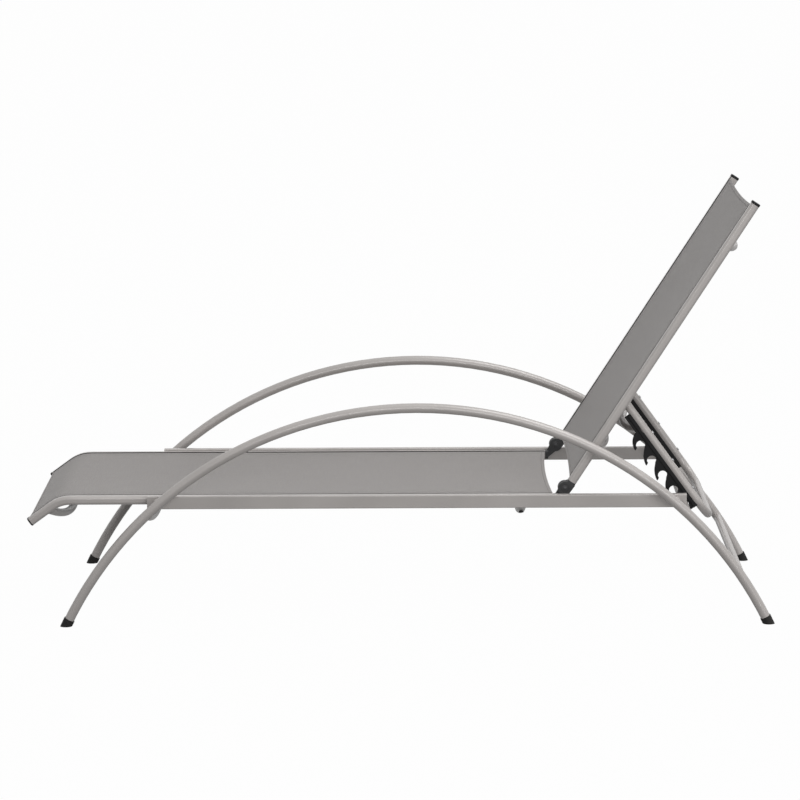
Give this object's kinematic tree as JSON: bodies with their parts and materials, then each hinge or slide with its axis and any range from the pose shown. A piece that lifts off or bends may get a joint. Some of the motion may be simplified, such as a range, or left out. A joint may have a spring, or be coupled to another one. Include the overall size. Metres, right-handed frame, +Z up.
{
  "type": "sun lounger",
  "caption": "Reclining sun lounger: stretched fabric seat and backrest on tubular arched side legs, with a toothed swing-out stand holding the backrest against a cross bar",
  "frame": {"origin": "centre of the overall bounding box in X and Y, on the ground in Z", "axes": "+X towards the head end, +Y to the right-hand side of somebody lying on it, +Z up"},
  "size_m": [1.7008, 0.6398, 0.9599],
  "materials": {
    "frame_paint": "satin powder coat, warm light grey",
    "fabric": "fine woven mesh, taupe grey, matt",
    "black_plastic": "fine moulded grain, black",
    "grey_plastic": "moulded, light grey",
    "hinge_plastic": "moulded, dark grey",
    "plated_steel": "zinc plated",
    "rubber": "moulded, black"
  },
  "bodies": {
    "base": {"left_bow": "frame_paint", "right_bow": "frame_paint", "left_rear_foot_cap": "rubber", "right_rear_foot_cap": "rubber", "left_front_foot_cap": "rubber", "right_front_foot_cap": "rubber", "left_side_rail": "frame_paint", "right_side_rail": "frame_paint", "left_rear_bow_bracket": "frame_paint", "right_rear_bow_bracket": "frame_paint", "left_front_bow_bracket": "frame_paint", "right_front_bow_bracket": "frame_paint", "left_seat_tube": "frame_paint", "right_seat_tube": "frame_paint", "left_seat_tube_cap": "black_plastic", "right_seat_tube_cap": "black_plastic", "left_seat_spline": "black_plastic", "right_seat_spline": "black_plastic", "left_lower_knuckle": "hinge_plastic", "right_lower_knuckle": "hinge_plastic", "rail_end_plugs": "grey_plastic", "foot_cross_tube": "frame_paint", "front_cross_tube": "frame_paint", "mid_cross_tube": "frame_paint", "mid_tube_drain_plugs": "black_plastic", "catch_bar": "frame_paint", "rear_stretcher": "frame_paint", "seat_sling": "fabric"},
    "backrest": {"left_upper_knuckle": "hinge_plastic", "right_upper_knuckle": "hinge_plastic", "left_hinge_bolt": "plated_steel", "right_hinge_bolt": "plated_steel", "left_backrest_tube": "frame_paint", "right_backrest_tube": "frame_paint", "left_backrest_cap": "black_plastic", "right_backrest_cap": "black_plastic", "left_backrest_spline": "black_plastic", "right_backrest_spline": "black_plastic", "left_pivot_boss": "frame_paint", "right_pivot_boss": "frame_paint", "left_pivot_bolt": "plated_steel", "right_pivot_bolt": "plated_steel", "backrest_sling": "fabric", "lower_backrest_cross_tube": "frame_paint", "upper_backrest_cross_tube": "frame_paint"},
    "stand": {"left_stand_plug": "black_plastic", "right_stand_plug": "black_plastic", "left_rack": "black_plastic", "right_rack": "black_plastic", "left_rack_screws": "plated_steel", "right_rack_screws": "plated_steel", "stand_tube": "frame_paint", "stand_brace": "frame_paint"}
  },
  "joints": [
    {"name": "backrest_hinge", "type": "hinge", "parent": "base", "child": "backrest", "pos_m": [0.37435, 0, 0.3045], "axis": [0, 1, 0], "range_deg": [0, 57.2]},
    {"name": "stand_hinge", "type": "hinge", "parent": "backrest", "child": "stand", "pos_m": [0.51063, 0, 0.49862], "axis": [0, 1, 0], "range_deg": [-102.7, 0]}
  ],
  "couplings": [
    {"joint": "stand_hinge", "follows": "backrest_hinge", "ratio": -1.7895}
  ]
}
